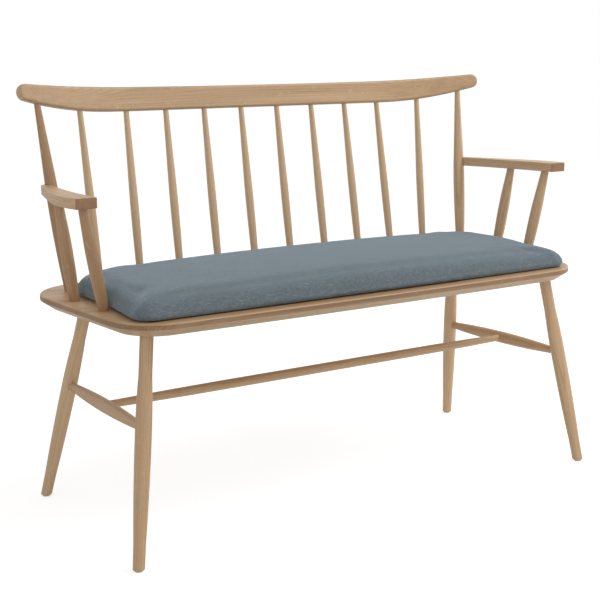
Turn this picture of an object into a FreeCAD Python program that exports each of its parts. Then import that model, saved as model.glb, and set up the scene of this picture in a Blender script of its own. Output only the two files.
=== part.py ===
import FreeCAD, Part
import Sketcher
import math
import os

from FreeCAD import Placement, Rotation, Vector

# A spindle-back bench with arms and an upholstered pad. Millimetres, +X along the bench, -Y the
# sitter's side, +Z up, the floor at Z = 0. Left is -X, as seen from the front. Widths are given from
# the bench's middle, depths from the line midway between the front and the rear leg sockets.

SIZES = [
    ("frame_shift", 25.3, "the frame's origin lies this far behind the line between the leg sockets"),
    ("play", 0.15, "clearance all round a tenon in its socket"),
    ("end_play", 0.5, "clearance at the bottom of a socket"),
    ("bore_overrun", 8, "how far a bore's cutter starts outside the piece"),

    ("seat_height", 430, "floor to the top of the plank"),
    ("plank_thick", 26, "seat plank, top to underside"),
    ("plank_front", 211, "front edge at the middle"),
    ("plank_rear", 221, "rear edge"),
    ("plank_half_front", 526, "half length, measured on the front edge's line"),
    ("plank_splay", 36, "how much longer each half is on the rear edge's line"),
    ("plank_bow_turn", 1.3, "degrees that the front edge bows round on each side of the middle"),
    ("plank_front_corner", 95, "radius of a front corner"),
    ("plank_rear_corner", 100, "radius of a rear corner"),
    ("plank_band", 10, "height of the square edge above the bevel"),
    ("plank_bevel_in", 23, "how far the bevel undercuts"),
    ("plank_top_round", 2.5, "rounding of the top edge"),

    ("leg_front_end_in", 54.5, "front leg's axis at the underside, in from the plank's front half length"),
    ("leg_front_edge_in", 68.6, "the same, in from the front edge"),
    ("foot_front_out", 59.5, "how far a front foot stands out beyond the leg's top"),
    ("foot_front_ahead", 65.6, "how far a front foot stands ahead of the leg's top"),
    ("leg_rear_end_in", 104.5, "rear leg's axis at the underside, in from the plank's rear half length"),
    ("leg_rear_edge_in", 77.5, "the same, in from the rear edge"),
    ("foot_rear_out", 66.5, "how far a rear foot stands out beyond the leg's top"),
    ("foot_rear_behind", 84.5, "how far a rear foot stands behind the leg's top"),
    ("leg_foot_radius", 10.7, "leg radius at the foot"),
    ("leg_ankle_up", 50, "where the foot's straight end meets the swelling"),
    ("leg_ankle_radius", 11.2, "leg radius there"),
    ("leg_swell_share", 0.585, "the thickest place, as a share of the leg's length from the foot"),
    ("leg_swell_radius", 14.8, "leg radius there"),
    ("leg_neck_share", 0.823, "where the swelling ends, as such a share"),
    ("leg_neck_radius", 12.1, "leg radius from there to the top"),
    ("leg_tenon", 19, "how deep a leg stands in the plank"),
    ("leg_trim", 12, "waste below the foot, sawn off level"),
    ("foot_chamfer", 1.5, "eased edge of the sawn foot"),

    ("glide_thick", 3, "glide under a foot"),
    ("glide_radius", 7.5, "glide radius"),
    ("glide_round", 1, "rounding of the glide's lower edge"),
    ("glide_pin_radius", 1.5, "pin of a glide"),
    ("glide_pin", 12, "length of that pin"),

    ("side_front_up", 242, "side stretcher's height on the front leg's axis"),
    ("side_rear_up", 237, "the same on the rear leg's axis"),
    ("side_end_radius", 7.8, "side stretcher radius at its ends"),
    ("side_middle_radius", 12.8, "side stretcher radius at its middle"),
    ("side_shank", 19, "straight end of a side stretcher, from the leg's axis"),
    ("middle_end_radius", 7.2, "middle stretcher radius at its ends"),
    ("middle_middle_radius", 9.4, "middle stretcher radius at its middle"),
    ("middle_shank", 22, "straight end of the middle stretcher, from the side stretcher's axis"),
    ("middle_run_share", 0.265, "how far its taper runs from each end, as a share of its length"),
    ("stretcher_gap", 1, "from a leg's axis to the stretcher's end"),

    ("back_height", 331, "plank's top to the rail's lower edge at the middle"),
    ("back_lean", 9.92, "degrees that the middle spindles lean back"),
    ("rail_thick", 20, "rail, front to back"),
    ("rail_tall", 46, "rail, lower to upper edge at the middle"),
    ("rail_tall_end", 50.4, "height of the upper edge at the tips"),
    ("rail_bent", 276, "length of each bent end, measured along the bench"),
    ("rail_bend", 620, "radius of the bent ends"),
    ("rail_turn", 28, "degrees that each end is bent round"),
    ("rail_rising", 213, "length of each rising end of the lower edge"),
    ("rail_over", 42.8, "how far the rail reaches past the end posts"),
    ("rail_tip_radius", 15.5, "radius of a tip, seen from the front"),
    ("rail_round", 5, "rounding of the rail's long edges"),

    ("spindle_edge_in", 27.3, "spindles' line, in from the plank's rear edge"),
    ("spindle_bays", 5.4, "how many spindle spacings lie between the middle and an end post"),
    ("spindle_gap_less", 1.4, "how much closer the spindles stand in the rail"),
    ("outer_spindle_edge_in", 30.5, "outermost spindle, in from the plank's rear edge"),
    ("outer_spindle_out", 16.5, "how far the outermost spindle's head stands outside that spacing"),
    ("spindle_foot_radius", 6.9, "spindle radius at the plank"),
    ("spindle_swell_share", 0.4, "thickest place, as a share of the visible length from the plank"),
    ("spindle_swell_radius", 8.45, "spindle radius there"),
    ("spindle_knee_share", 0.565, "where the straight taper starts, as such a share"),
    ("spindle_knee_radius", 7.95, "spindle radius there"),
    ("spindle_head_radius", 5.4, "spindle radius at the rail"),
    ("spindle_tenon", 16, "how deep a spindle or a post stands in the plank"),
    ("spindle_head_tenon", 17, "how deep it stands in the rail"),

    ("post_end_in", 73.7, "end post in the plank, in from the plank's rear half length"),
    ("post_edge_in", 68, "the same, in from the rear edge"),
    ("post_flare", 26.9, "how far the post's head stands outside its foot"),
    ("post_foot_radius", 8.6, "post radius at the plank"),
    ("post_swell_share", 0.4, "thickest place, as a share of the visible length from the plank"),
    ("post_swell_radius", 12.6, "post radius there"),
    ("post_knee_share", 0.578, "where the straight taper starts, as such a share"),
    ("post_knee_radius", 11.4, "post radius there"),
    ("post_head_radius", 5.8, "post radius at the rail"),

    ("arm_up", 209, "plank's top to the arm's top at its front end"),
    ("arm_past_post", 44, "how far the arm's rear end lies behind the post's foot"),
    ("arm_fall", 1.4, "degrees that the arm falls towards the back"),
    ("arm_length", 287, "front end to rear end"),
    ("arm_thick", 19, "arm, top to underside"),
    ("arm_wide", 44.3, "inner edge at the front end, in from the widest place"),
    ("arm_inner_bend", 1360, "radius of the inner edge"),
    ("arm_reach", 88, "outer edge at its widest, out from the post's foot"),
    ("arm_widest_back", 50, "the widest place, behind the front end"),
    ("arm_outer_bend", 310, "radius of the outer edge's front part"),
    ("arm_outer_turn", 16.4, "degrees that this part turns before the straight part"),
    ("arm_rear_round", 5, "radius of the rear corners"),
    ("arm_front_round", 3.5, "radius of the front corners"),
    ("arm_edge_round", 1.6, "rounding of the top and bottom edges"),
    ("arm_dowel_radius", 3, "dowel between arm and post"),
    ("arm_dowel_in_post", 12, "its length inside the post's wall"),
    ("arm_dowel_in_arm", 4.5, "its length in the arm"),

    ("arm_spindle_front_end_in", 32.2, "front arm spindle, in from the plank's end"),
    ("arm_spindle_front_edge_in", 165, "the same, in from the plank's front edge"),
    ("arm_spindle_front_arm_in", 30.3, "front arm spindle in the arm, in from the arm's widest place"),
    ("arm_spindle_front_arm_back", 33, "the same, behind the arm's front end"),
    ("arm_spindle_rear_end_in", 31.8, "rear arm spindle, in from the plank's end"),
    ("arm_spindle_rear_edge_in", 159, "the same, in from the plank's rear edge"),
    ("arm_spindle_rear_arm_in", 30.8, "rear arm spindle in the arm, in from the arm's widest place"),
    ("arm_spindle_rear_arm_back", 141.5, "the same, behind the arm's front end"),
    ("arm_spindle_foot_radius", 9.4, "arm spindle radius at the plank"),
    ("arm_spindle_swell_share", 0.43, "thickest place, as a share of the visible length from the plank"),
    ("arm_spindle_swell_radius", 11.8, "arm spindle radius there"),
    ("arm_spindle_knee_share", 0.68, "where the straight taper starts, as such a share"),
    ("arm_spindle_knee_radius", 11, "arm spindle radius there"),
    ("arm_spindle_head_radius", 8.2, "arm spindle radius at the arm"),
    ("arm_spindle_head_tenon", 11, "how deep it stands in the arm"),

    ("pad_front_in", 24, "pad's front edge, in from the plank's"),
    ("pad_rear_in", 46, "pad's rear edge, in from the plank's"),
    ("pad_end_front_in", 35, "pad's half length along its front edge, less than the plank's"),
    ("pad_end_rear_in", 67.5, "the same along its rear edge"),
    ("pad_front_corner", 38, "radius of the pad's front corners"),
    ("pad_rear_corner", 93, "radius of the pad's rear corners"),
    ("pad_bow_turn", 0.9, "degrees that the pad's long edges bow round on each side of the middle"),
    ("pad_high", 50, "pad's height at its crown"),
    ("pad_crown_end", 8, "how much lower the crown is at the ends"),
    ("pad_crown_side", 8, "how much lower the crown is at the long sides"),
    ("pad_shoulder", 28, "radius of the shoulder round the top"),
    ("pad_tuck", 7, "radius of the tuck at the bottom"),
    ("pad_lift", 0.3, "clearance between the cover and the plank"),
    ("cover_thick", 1.2, "woven cover"),
    ("cover_play", 0.3, "clearance between the cover and the foam"),
    ("board_thick", 9, "plywood board in the pad"),
    ("cover_turned_in", 25, "how far the cover is turned in under the board"),
    ("board_in", 12, "board's edge, in from the pad's"),
    ("screw_end_in", 91, "outer pad screws, in from the pad's ends"),
    ("screw_edge_in", 76, "pad screws, in from the pad's long edges"),
    ("screw_radius", 2, "shank of a pad screw"),
    ("screw_head_radius", 4, "head of a pad screw"),
    ("screw_head_thick", 3, "height of the countersunk head"),
    ("screw_in_board", 7, "how deep a pad screw stands in the board"),
]

doc = FreeCAD.newDocument("bench")
sheet = doc.addObject("Spreadsheet::Sheet", "Sizes")


class Size:
    """A number together with the formula that ties it to the sheet."""

    def __init__(self, value, formula):
        self.value = value
        self.formula = formula

    def __add__(self, other):
        other = as_size(other)
        return Size(self.value + other.value, f"({self.formula} + {other.formula})")

    def __sub__(self, other):
        other = as_size(other)
        return Size(self.value - other.value, f"({self.formula} - {other.formula})")

    def __mul__(self, other):
        other = as_size(other)
        return Size(self.value * other.value, f"({self.formula} * {other.formula})")

    def __truediv__(self, other):
        other = as_size(other)
        return Size(self.value / other.value, f"({self.formula} / {other.formula})")

    def __neg__(self):
        return Size(-self.value, f"(-1 * {self.formula})")


def as_size(number):
    return number if isinstance(number, Size) else Size(float(number), repr(float(number)))


def sine(angle):
    return Size(math.sin(math.radians(angle.value)), f"sin({angle.formula})")


def cosine(angle):
    return Size(math.cos(math.radians(angle.value)), f"cos({angle.formula})")


def root(size):
    return Size(math.sqrt(size.value), f"sqrt({size.formula})")


def fill_sheet():
    """Write the driving sizes to the sheet and return them by name."""
    sizes = {}
    for row, (name, value, meaning) in enumerate(SIZES, start=1):
        sheet.set(f"A{row}", meaning)
        sheet.set(f"B{row}", str(value))
        sheet.setAlias(f"B{row}", name)
        sizes[name] = Size(float(value), f"Sizes.{name}")
    doc.recompute()
    return sizes


size = fill_sheet()


def mm(name):
    return size[name].value


def follow_on():
    """Sizes that follow from the sheet's, so that the pieces keep together when one is changed."""
    size["plank_half_rear"] = size["plank_half_front"] + size["plank_splay"]
    size["end_slope"] = size["plank_splay"] / (size["plank_front"] + size["plank_rear"])
    size["leg_front_x"] = size["plank_half_front"] - size["leg_front_end_in"]
    size["leg_front_y"] = size["plank_front"] - size["leg_front_edge_in"]
    size["foot_front_x"] = size["leg_front_x"] + size["foot_front_out"]
    size["foot_front_y"] = size["leg_front_y"] + size["foot_front_ahead"]
    size["leg_rear_x"] = size["plank_half_rear"] - size["leg_rear_end_in"]
    size["leg_rear_y"] = size["plank_rear"] - size["leg_rear_edge_in"]
    size["foot_rear_x"] = size["leg_rear_x"] + size["foot_rear_out"]
    size["foot_rear_y"] = size["leg_rear_y"] + size["foot_rear_behind"]
    size["post_x"] = size["plank_half_rear"] - size["post_end_in"]
    size["post_y"] = size["plank_rear"] - size["post_edge_in"]
    size["post_rail"] = size["post_x"] + size["post_flare"]
    size["spindle_line"] = size["plank_rear"] - size["spindle_edge_in"]
    size["outer_spindle_line"] = size["plank_rear"] - size["outer_spindle_edge_in"]
    size["spindle_gap_seat"] = size["post_x"] / size["spindle_bays"]
    size["spindle_gap_rail"] = size["spindle_gap_seat"] - size["spindle_gap_less"]
    size["outer_spindle_rail"] = size["spindle_gap_rail"] * 4.5 + size["outer_spindle_out"]
    size["rail_height"] = size["seat_height"] + size["back_height"]
    size["rail_back"] = size["spindle_line"] + size["back_height"] * sine(size["back_lean"]) / cosine(size["back_lean"])
    size["rail_half"] = size["post_rail"] + size["rail_over"]
    size["rail_straight"] = size["rail_half"] - size["rail_bent"]
    size["rail_level"] = size["rail_half"] - size["rail_rising"]
    size["arm_height"] = size["seat_height"] + size["arm_up"]
    size["arm_front"] = size["arm_length"] - size["post_y"] - size["arm_past_post"]
    size["arm_widest"] = size["post_x"] + size["arm_reach"]
    size["arm_inner_front"] = size["arm_widest"] - size["arm_wide"]
    front_y = size["plank_front"] - size["arm_spindle_front_edge_in"]
    rear_y = size["plank_rear"] - size["arm_spindle_rear_edge_in"]
    size["arm_spindle_front_y"] = front_y
    size["arm_spindle_rear_y"] = rear_y
    size["arm_spindle_front_x"] = end_at(-front_y) - size["arm_spindle_front_end_in"]
    size["arm_spindle_rear_x"] = end_at(rear_y) - size["arm_spindle_rear_end_in"]
    for end in ("front", "rear"):
        size[f"arm_spindle_{end}_arm_x"] = size["arm_widest"] - size[f"arm_spindle_{end}_arm_in"]
    size["arm_spindle_front_arm_y"] = size["arm_front"] - size["arm_spindle_front_arm_back"]
    size["arm_spindle_rear_arm_y"] = size["arm_spindle_rear_arm_back"] - size["arm_front"]


def end_at(y):
    """Half length of the plank on a line across it."""
    return size["plank_half_front"] + (y + size["plank_front"]) * size["end_slope"]


follow_on()


def at(x, y, z):
    """A point of the bench; y counts from the line between the leg sockets."""
    return Vector(x, y - mm("frame_shift"), z)


def bind(thing, prop, amount):
    setattr(thing, prop, amount.value)
    thing.setExpression(prop, amount.formula)


def along(start, finish):
    """A placement at start whose own Z axis points at finish."""
    return Placement(start, Rotation(Vector(0, 0, 1), finish - start))


def new_body(label, placement):
    body = doc.addObject("PartDesign::Body", label)
    body.Label = label
    body.Placement = placement
    return body


def new_sketch(body, role):
    sketch = body.newObject("Sketcher::SketchObject", body.Label + "_outline")
    plane = [item for item in body.Origin.OriginFeatures if item.Role == role][0]
    sketch.AttachmentSupport = (plane, [""])
    sketch.MapMode = "FlatFace"
    return sketch


def arc_between(start, finish, radius):
    """The shorter arc from start to finish; it swells to the right, or to the left if radius < 0."""
    chord = finish - start
    half = chord.Length / 2
    rise = abs(radius) - math.sqrt(radius * radius - half * half)
    side = Vector(chord.y, -chord.x, 0).normalize() * math.copysign(rise, radius)
    middle = (start + finish) * 0.5 + side
    if radius > 0:
        return Part.Arc(start, middle, finish)
    return Part.Arc(finish, middle, start)


def hold(sketch, edge, end, coordinate, amount):
    """Tie one coordinate of an edge's end to its formula, or to the axis where it is nought."""
    if amount.formula == "0.0":
        axis = -2 if coordinate == "DistanceX" else -1
        sketch.addConstraint(Sketcher.Constraint("PointOnObject", edge, end, axis))
    else:
        held = sketch.addConstraint(Sketcher.Constraint(coordinate, -1, 1, edge, end, amount.value))
        sketch.setExpression(f"Constraints[{held}]", amount.formula)


def draw(sketch, corners, arcs=None):
    """A closed outline, counter-clockwise. arcs gives the radius of the edge after a corner."""
    arcs = {} if arcs is None else arcs
    first = sketch.GeometryCount
    corners = [(as_size(x), as_size(y)) for x, y in corners]
    count = len(corners)
    points = [Vector(x.value, y.value, 0) for x, y in corners]
    ends = []
    for k in range(count):
        start, finish = points[k], points[(k + 1) % count]
        if k in arcs:
            sketch.addGeometry(arc_between(start, finish, arcs[k].value), False)
            ends.append((1, 2) if arcs[k].value > 0 else (2, 1))
        else:
            sketch.addGeometry(Part.LineSegment(start, finish), False)
            ends.append((1, 2))
    for k in range(count):
        after = (k + 1) % count
        sketch.addConstraint(
            Sketcher.Constraint("Coincident", first + k, ends[k][1], first + after, ends[after][0])
        )
        hold(sketch, first + k, ends[k][0], "DistanceX", corners[k][0])
        hold(sketch, first + k, ends[k][0], "DistanceY", corners[k][1])
        if k in arcs:
            radius = arcs[k] if arcs[k].value > 0 else -arcs[k]
            held = sketch.addConstraint(Sketcher.Constraint("Radius", first + k, radius.value))
            sketch.setExpression(f"Constraints[{held}]", radius.formula)


def pad(body, sketch, height, downwards=False):
    feature = body.newObject("PartDesign::Pad", body.Label + "_pad")
    feature.Profile = sketch
    feature.Reversed = downwards
    bind(feature, "Length", height)
    doc.recompute()
    return feature


def bore(body, start, finish, radius, depth):
    """A round hole from start, in the bench's frame, towards finish."""
    cutter = body.newObject("PartDesign::SubtractiveCylinder", body.Label + "_bore")
    cutter.Placement = body.Placement.inverse() * along(start, finish)
    bind(cutter, "Radius", radius)
    bind(cutter, "Height", depth)
    return cutter


def socket(body, mouth, inside, radius, depth):
    """A blind socket whose mouth lies on the piece's surface and which runs towards inside."""
    overrun = mm("bore_overrun")
    direction = (inside - mouth).normalize()
    bore(body, mouth - direction * overrun, inside, radius + size["play"],
         depth + size["end_play"] + size["bore_overrun"])


def round_edges(body, chosen, radius):
    """Round the edges of the body's last feature that the test picks."""
    doc.recompute()
    base = body.Tip
    names = [f"Edge{k + 1}" for k, edge in enumerate(base.Shape.Edges) if chosen(edge, base.Shape)]
    feature = body.newObject("PartDesign::Fillet", body.Label + "_round")
    feature.Base = (base, names)
    bind(feature, "Radius", radius)
    doc.recompute()
    return feature


def swell(low, high):
    """Radius of the arc between two stations (height, radius) that runs along the axis at one end."""
    rise = high[0] - low[0]
    bulge = high[1] - low[1]
    if bulge.value < 0:
        bulge = -bulge
    return (rise * rise + bulge * bulge) / (bulge * 2)


def turned(label, foot, head, stations, arcs):
    """A turned piece: stations are (height, radius) along the line from foot to head."""
    body = new_body(label, along(foot, head))
    sketch = new_sketch(body, "XZ_Plane")
    stations = [(as_size(height), as_size(radius)) for height, radius in stations]
    corners = [(0, stations[0][0])]
    corners += [(radius, height) for height, radius in stations]
    corners.append((0, stations[-1][0]))
    bends = {}
    for k in arcs:
        bends[k + 1] = swell(stations[k], stations[k + 1])
    draw(sketch, corners, bends)
    feature = body.newObject("PartDesign::Revolution", label + "_turning")
    feature.Profile = sketch
    feature.ReferenceAxis = (sketch, ["V_Axis"])
    feature.Angle = 360
    doc.recompute()
    return body


# Places that several pieces share

SIDES = {"left": -1, "right": 1}
plank_under = mm("seat_height") - mm("plank_thick")


def leg_point(end, side, height):
    """A point on a leg's axis at a height above the floor."""
    ahead = -1 if end == "front" else 1
    top = Vector(mm(f"leg_{end}_x"), ahead * mm(f"leg_{end}_y"), plank_under)
    foot = Vector(mm(f"foot_{end}_x"), ahead * mm(f"foot_{end}_y"), 0)
    point = foot + (top - foot) * (height / plank_under)
    return at(side * point.x, point.y, point.z)


def side_stretcher_ends(side):
    return leg_point("front", side, mm("side_front_up")), leg_point("rear", side, mm("side_rear_up"))


def side_stretcher_middle(side):
    front, rear = side_stretcher_ends(side)
    return (front + rear) * 0.5


rail_origin = at(0, mm("rail_back"), mm("rail_height"))
rail_lean = rail_origin - at(0, mm("spindle_line"), mm("seat_height"))
rail_placement = Placement(rail_origin, Rotation(Vector(0, 0, 1), rail_lean))

rail_tip_centre_up = size["rail_tall_end"] - size["rail_tip_radius"]
rail_tip_centre_out = size["rail_half"] - size["rail_tip_radius"]
tip_run = rail_tip_centre_out - size["rail_level"]
rail_sweep = (
    (tip_run * tip_run + rail_tip_centre_up * rail_tip_centre_up
     - size["rail_tip_radius"] * size["rail_tip_radius"])
    / ((rail_tip_centre_up - size["rail_tip_radius"]) * 2)
)


def under_rail(x):
    """The point of the rail's lower edge, on its centre line, at a distance from the middle."""
    out = abs(x)
    bend = mm("rail_bend")
    past = max(out - mm("rail_straight"), 0)
    forward = bend - math.sqrt(bend * bend - past * past)
    past_level = max(out - mm("rail_level"), 0)
    sweep = rail_sweep.value
    rise = sweep - math.sqrt(sweep * sweep - past_level * past_level)
    return rail_placement.multVec(Vector(x, -forward, rise))


def upright_ends(place):
    """Foot and head of an upright of the back; the posts are places 0 and 11, left to right."""
    side = -1 if place < 6 else 1
    count = abs(place - 5.5)
    if count > 5:
        foot = at(side * mm("post_x"), mm("post_y"), mm("seat_height"))
        return foot, under_rail(side * mm("post_rail"))
    line = mm("outer_spindle_line") if count > 4 else mm("spindle_line")
    head = mm("outer_spindle_rail") if count > 4 else count * mm("spindle_gap_rail")
    foot = at(side * count * mm("spindle_gap_seat"), line, mm("seat_height"))
    return foot, under_rail(side * head)


arm_turn = Rotation(Vector(1, 0, 0), -mm("arm_fall"))


def arm_placement():
    return Placement(at(0, -mm("arm_front"), mm("arm_height")), arm_turn)


def under_arm(x, y):
    """The point of an arm's underside above or below a place."""
    fall = math.tan(math.radians(mm("arm_fall")))
    drop = mm("arm_thick") / math.cos(math.radians(mm("arm_fall")))
    return at(x, y, mm("arm_height") - (y + mm("arm_front")) * fall - drop)


def arm_spindle_ends(end, side):
    ahead = -1 if end == "front" else 1
    foot = at(side * mm(f"arm_spindle_{end}_x"), ahead * mm(f"arm_spindle_{end}_y"), mm("seat_height"))
    head = under_arm(side * mm(f"arm_spindle_{end}_arm_x"), ahead * mm(f"arm_spindle_{end}_arm_y"))
    return foot, head


def arm_dowel_ends(side):
    """The dowel's line: from the post's axis outwards into the arm, square to the post."""
    foot, head = upright_ends(0 if side < 0 else 11)
    level = under_arm(side * mm("post_x"), mm("post_y")).z + mm("arm_thick") / 2
    centre = foot + (head - foot) * ((level - foot.z) / (head.z - foot.z))
    lean = (head - foot).normalize()
    outward = Vector(side, 0, 0)
    outward = (outward - lean * outward.dot(lean)).normalize()
    return centre, outward


def post_radius_at_dowel():
    return size["post_knee_radius"]


# Seat plank

def splayed_outline(front, rear, half_front, half_rear, front_corner, rear_corner, turns):
    """Corners and arcs of a plan with splayed ends and round corners.

    turns gives the degrees that the front and the rear edge bow round on each side of the middle.
    """
    slope = (half_rear - half_front) / (front + rear)
    lean = root(slope * slope + 1)
    half = []
    arcs = {}
    for k, (edge, reach, corner, tilt, turn) in enumerate((
            (-front, half_front, front_corner, slope, turns[0]),
            (rear, half_rear, rear_corner, -slope, turns[1]))):
        inward = as_size(1 - 2 * k)
        rise = (as_size(1) - cosine(turn)) / sine(turn) if turn else as_size(0)
        centre_x = (reach + tilt * corner - corner * lean) / (as_size(1) - tilt * rise)
        centre_y = edge + inward * (corner + centre_x * rise)
        along_edge = (centre_x, edge)
        if turn:
            along_edge = (centre_x + corner * sine(turn), centre_y - inward * corner * cosine(turn))
            arcs[4 * k] = centre_x / sine(turn) + corner
        half += [along_edge, (centre_x + corner / lean, centre_y - corner * slope / lean)]
    right = [half[0], half[1], half[3], half[2]]
    left = [(-x, y) for x, y in reversed(right)]
    arcs.update({1: front_corner, 3: rear_corner, 5: rear_corner, 7: front_corner})
    return [left[3]] + right + left[:3], arcs


def make_plank():
    body = new_body("seat_plank", Placement(at(0, 0, plank_under), Rotation()))
    sketch = new_sketch(body, "XY_Plane")
    corners, arcs = splayed_outline(
        size["plank_front"], size["plank_rear"], size["plank_half_front"], size["plank_half_rear"],
        size["plank_front_corner"], size["plank_rear_corner"], (size["plank_bow_turn"], None))
    draw(sketch, corners, arcs)
    slab = pad(body, sketch, size["plank_thick"])
    under = [f"Edge{k + 1}" for k, edge in enumerate(slab.Shape.Edges)
             if edge.BoundBox.ZMax < slab.Shape.BoundBox.ZMin + 0.01]
    bevel = body.newObject("PartDesign::Chamfer", "plank_bevel")
    bevel.Base = (slab, under)
    bevel.ChamferType = "Two distances"
    bind(bevel, "Size", size["plank_thick"] - size["plank_band"])
    bind(bevel, "Size2", size["plank_bevel_in"])
    round_edges(body, lambda edge, shape: edge.BoundBox.ZMin > shape.BoundBox.ZMax - 0.01,
                size["plank_top_round"])
    for side in SIDES.values():
        for end in ("front", "rear"):
            mouth = leg_point(end, side, plank_under)
            inside = leg_point(end, side, mm("seat_height"))
            socket(body, mouth, inside, size["leg_neck_radius"], size["leg_tenon"])
            foot, head = arm_spindle_ends(end, side)
            socket(body, foot, foot * 2 - head, size["arm_spindle_foot_radius"], size["spindle_tenon"])
    for place in range(12):
        foot, head = upright_ends(place)
        radius = size["post_foot_radius"] if place in (0, 11) else size["spindle_foot_radius"]
        socket(body, foot, foot * 2 - head, radius, size["spindle_tenon"])
    for x, y in screw_places():
        low = at(x, y, plank_under - mm("bore_overrun"))
        high = at(x, y, mm("seat_height") + mm("bore_overrun"))
        bore(body, low, high, size["screw_radius"] + size["play"],
             size["plank_thick"] + size["bore_overrun"] * 2)
        bore(body, low, high, size["screw_head_radius"] + size["play"],
             size["bore_overrun"] + size["screw_head_thick"] + size["play"])
    doc.recompute()


# Turned pieces

def make_leg(end, side, word):
    top = leg_point(end, side, plank_under)
    foot = leg_point(end, side, 0)
    length = as_size((top - foot).Length)
    stations = [
        (-size["leg_trim"], size["leg_foot_radius"]),
        (size["leg_trim"] * 0, size["leg_foot_radius"]),
        (size["leg_ankle_up"], size["leg_ankle_radius"]),
        (length * size["leg_swell_share"], size["leg_swell_radius"]),
        (length * size["leg_neck_share"], size["leg_neck_radius"]),
        (length + size["leg_tenon"], size["leg_neck_radius"]),
    ]
    body = turned(f"leg_{end}_{word}", foot, top, stations, arcs=(2, 3))
    waste = body.newObject("PartDesign::SubtractiveBox", f"foot_cut_{end}_{word}")
    wide = size["leg_trim"] * 8
    bind(waste, "Length", wide)
    bind(waste, "Width", wide)
    bind(waste, "Height", wide)
    corner = foot + Vector(-wide.value / 2, -wide.value / 2, mm("glide_thick") - wide.value)
    waste.Placement = body.Placement.inverse() * Placement(corner, Rotation())
    sole = leg_point(end, side, mm("glide_thick"))
    round_edges(body, lambda edge, shape: is_foot_rim(edge, body, sole), size["foot_chamfer"])
    bore(body, sole - Vector(0, 0, mm("bore_overrun")), sole + Vector(0, 0, 1),
         size["glide_pin_radius"] + size["play"],
         size["bore_overrun"] + size["glide_pin"] + size["end_play"])
    other = leg_point("rear" if end == "front" else "front", side,
                      mm("side_rear_up") if end == "front" else mm("side_front_up"))
    here = leg_point(end, side, mm(f"side_{end}_up"))
    bore(body, here, other, size["side_end_radius"] + size["play"], size["leg_swell_radius"] * 2)
    doc.recompute()


def is_foot_rim(edge, body, sole):
    box = edge.BoundBox
    middle = body.Placement.multVec(box.Center)
    return (middle - sole).Length < mm("leg_foot_radius") / 2 and edge.Length > mm("leg_foot_radius")


def make_glide(end, side, word):
    sole = leg_point(end, side, mm("glide_thick"))
    floor = Vector(sole.x, sole.y, 0)
    stations = [
        (0, size["glide_radius"] - size["glide_round"]),
        (size["glide_round"], size["glide_radius"]),
        (size["glide_thick"], size["glide_radius"]),
        (size["glide_thick"], size["glide_pin_radius"]),
        (size["glide_thick"] + size["glide_pin"], size["glide_pin_radius"]),
    ]
    body = new_body(f"glide_{end}_{word}", Placement(floor, Rotation()))
    sketch = new_sketch(body, "XZ_Plane")
    corners = [(0, 0)] + [(radius, height) for height, radius in stations]
    corners.append((0, stations[-1][0]))
    draw(sketch, corners, {1: size["glide_round"]})
    feature = body.newObject("PartDesign::Revolution", body.Label + "_turning")
    feature.Profile = sketch
    feature.ReferenceAxis = (sketch, ["V_Axis"])
    feature.Angle = 360
    doc.recompute()


def make_side_stretcher(side, word):
    front, rear = side_stretcher_ends(side)
    span = as_size((rear - front).Length)
    stations = [
        (size["stretcher_gap"], size["side_end_radius"]),
        (size["side_shank"], size["side_end_radius"]),
        (span / 2, size["side_middle_radius"]),
        (span - size["side_shank"], size["side_end_radius"]),
        (span - size["stretcher_gap"], size["side_end_radius"]),
    ]
    body = turned(f"side_stretcher_{word}", front, rear, stations, arcs=(1, 2))
    bore(body, side_stretcher_middle(side), side_stretcher_middle(-side),
         size["middle_end_radius"] + size["play"], size["side_middle_radius"] * 2)
    doc.recompute()


def make_middle_stretcher():
    left, right = side_stretcher_middle(-1), side_stretcher_middle(1)
    span = as_size((right - left).Length)
    run = span * size["middle_run_share"]
    stations = [
        (size["stretcher_gap"], size["middle_end_radius"]),
        (size["middle_shank"], size["middle_end_radius"]),
        (run, size["middle_middle_radius"]),
        (span - run, size["middle_middle_radius"]),
        (span - size["middle_shank"], size["middle_end_radius"]),
        (span - size["stretcher_gap"], size["middle_end_radius"]),
    ]
    turned("middle_stretcher", left, right, stations, arcs=(1, 3))


def make_upright(place):
    foot, head = upright_ends(place)
    length = as_size((head - foot).Length)
    kind = "post" if place in (0, 11) else "spindle"
    label = {0: "end_post_left", 11: "end_post_right"}.get(place, f"back_spindle_{place:02d}")
    stations = [
        (-size["spindle_tenon"], size[f"{kind}_foot_radius"]),
        (size["spindle_tenon"] * 0, size[f"{kind}_foot_radius"]),
        (length * size[f"{kind}_swell_share"], size[f"{kind}_swell_radius"]),
        (length * size[f"{kind}_knee_share"], size[f"{kind}_knee_radius"]),
        (length, size[f"{kind}_head_radius"]),
        (length + size["spindle_head_tenon"], size[f"{kind}_head_radius"]),
    ]
    body = turned(label, foot, head, stations, arcs=(1, 2))
    if kind == "post":
        centre, outward = arm_dowel_ends(-1 if place == 0 else 1)
        start = centre + outward * (post_radius_at_dowel().value - mm("arm_dowel_in_post"))
        bore(body, start, centre + outward * mm("post_swell_radius") * 2,
             size["arm_dowel_radius"] + size["play"], size["post_swell_radius"] * 2)
        doc.recompute()


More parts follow.
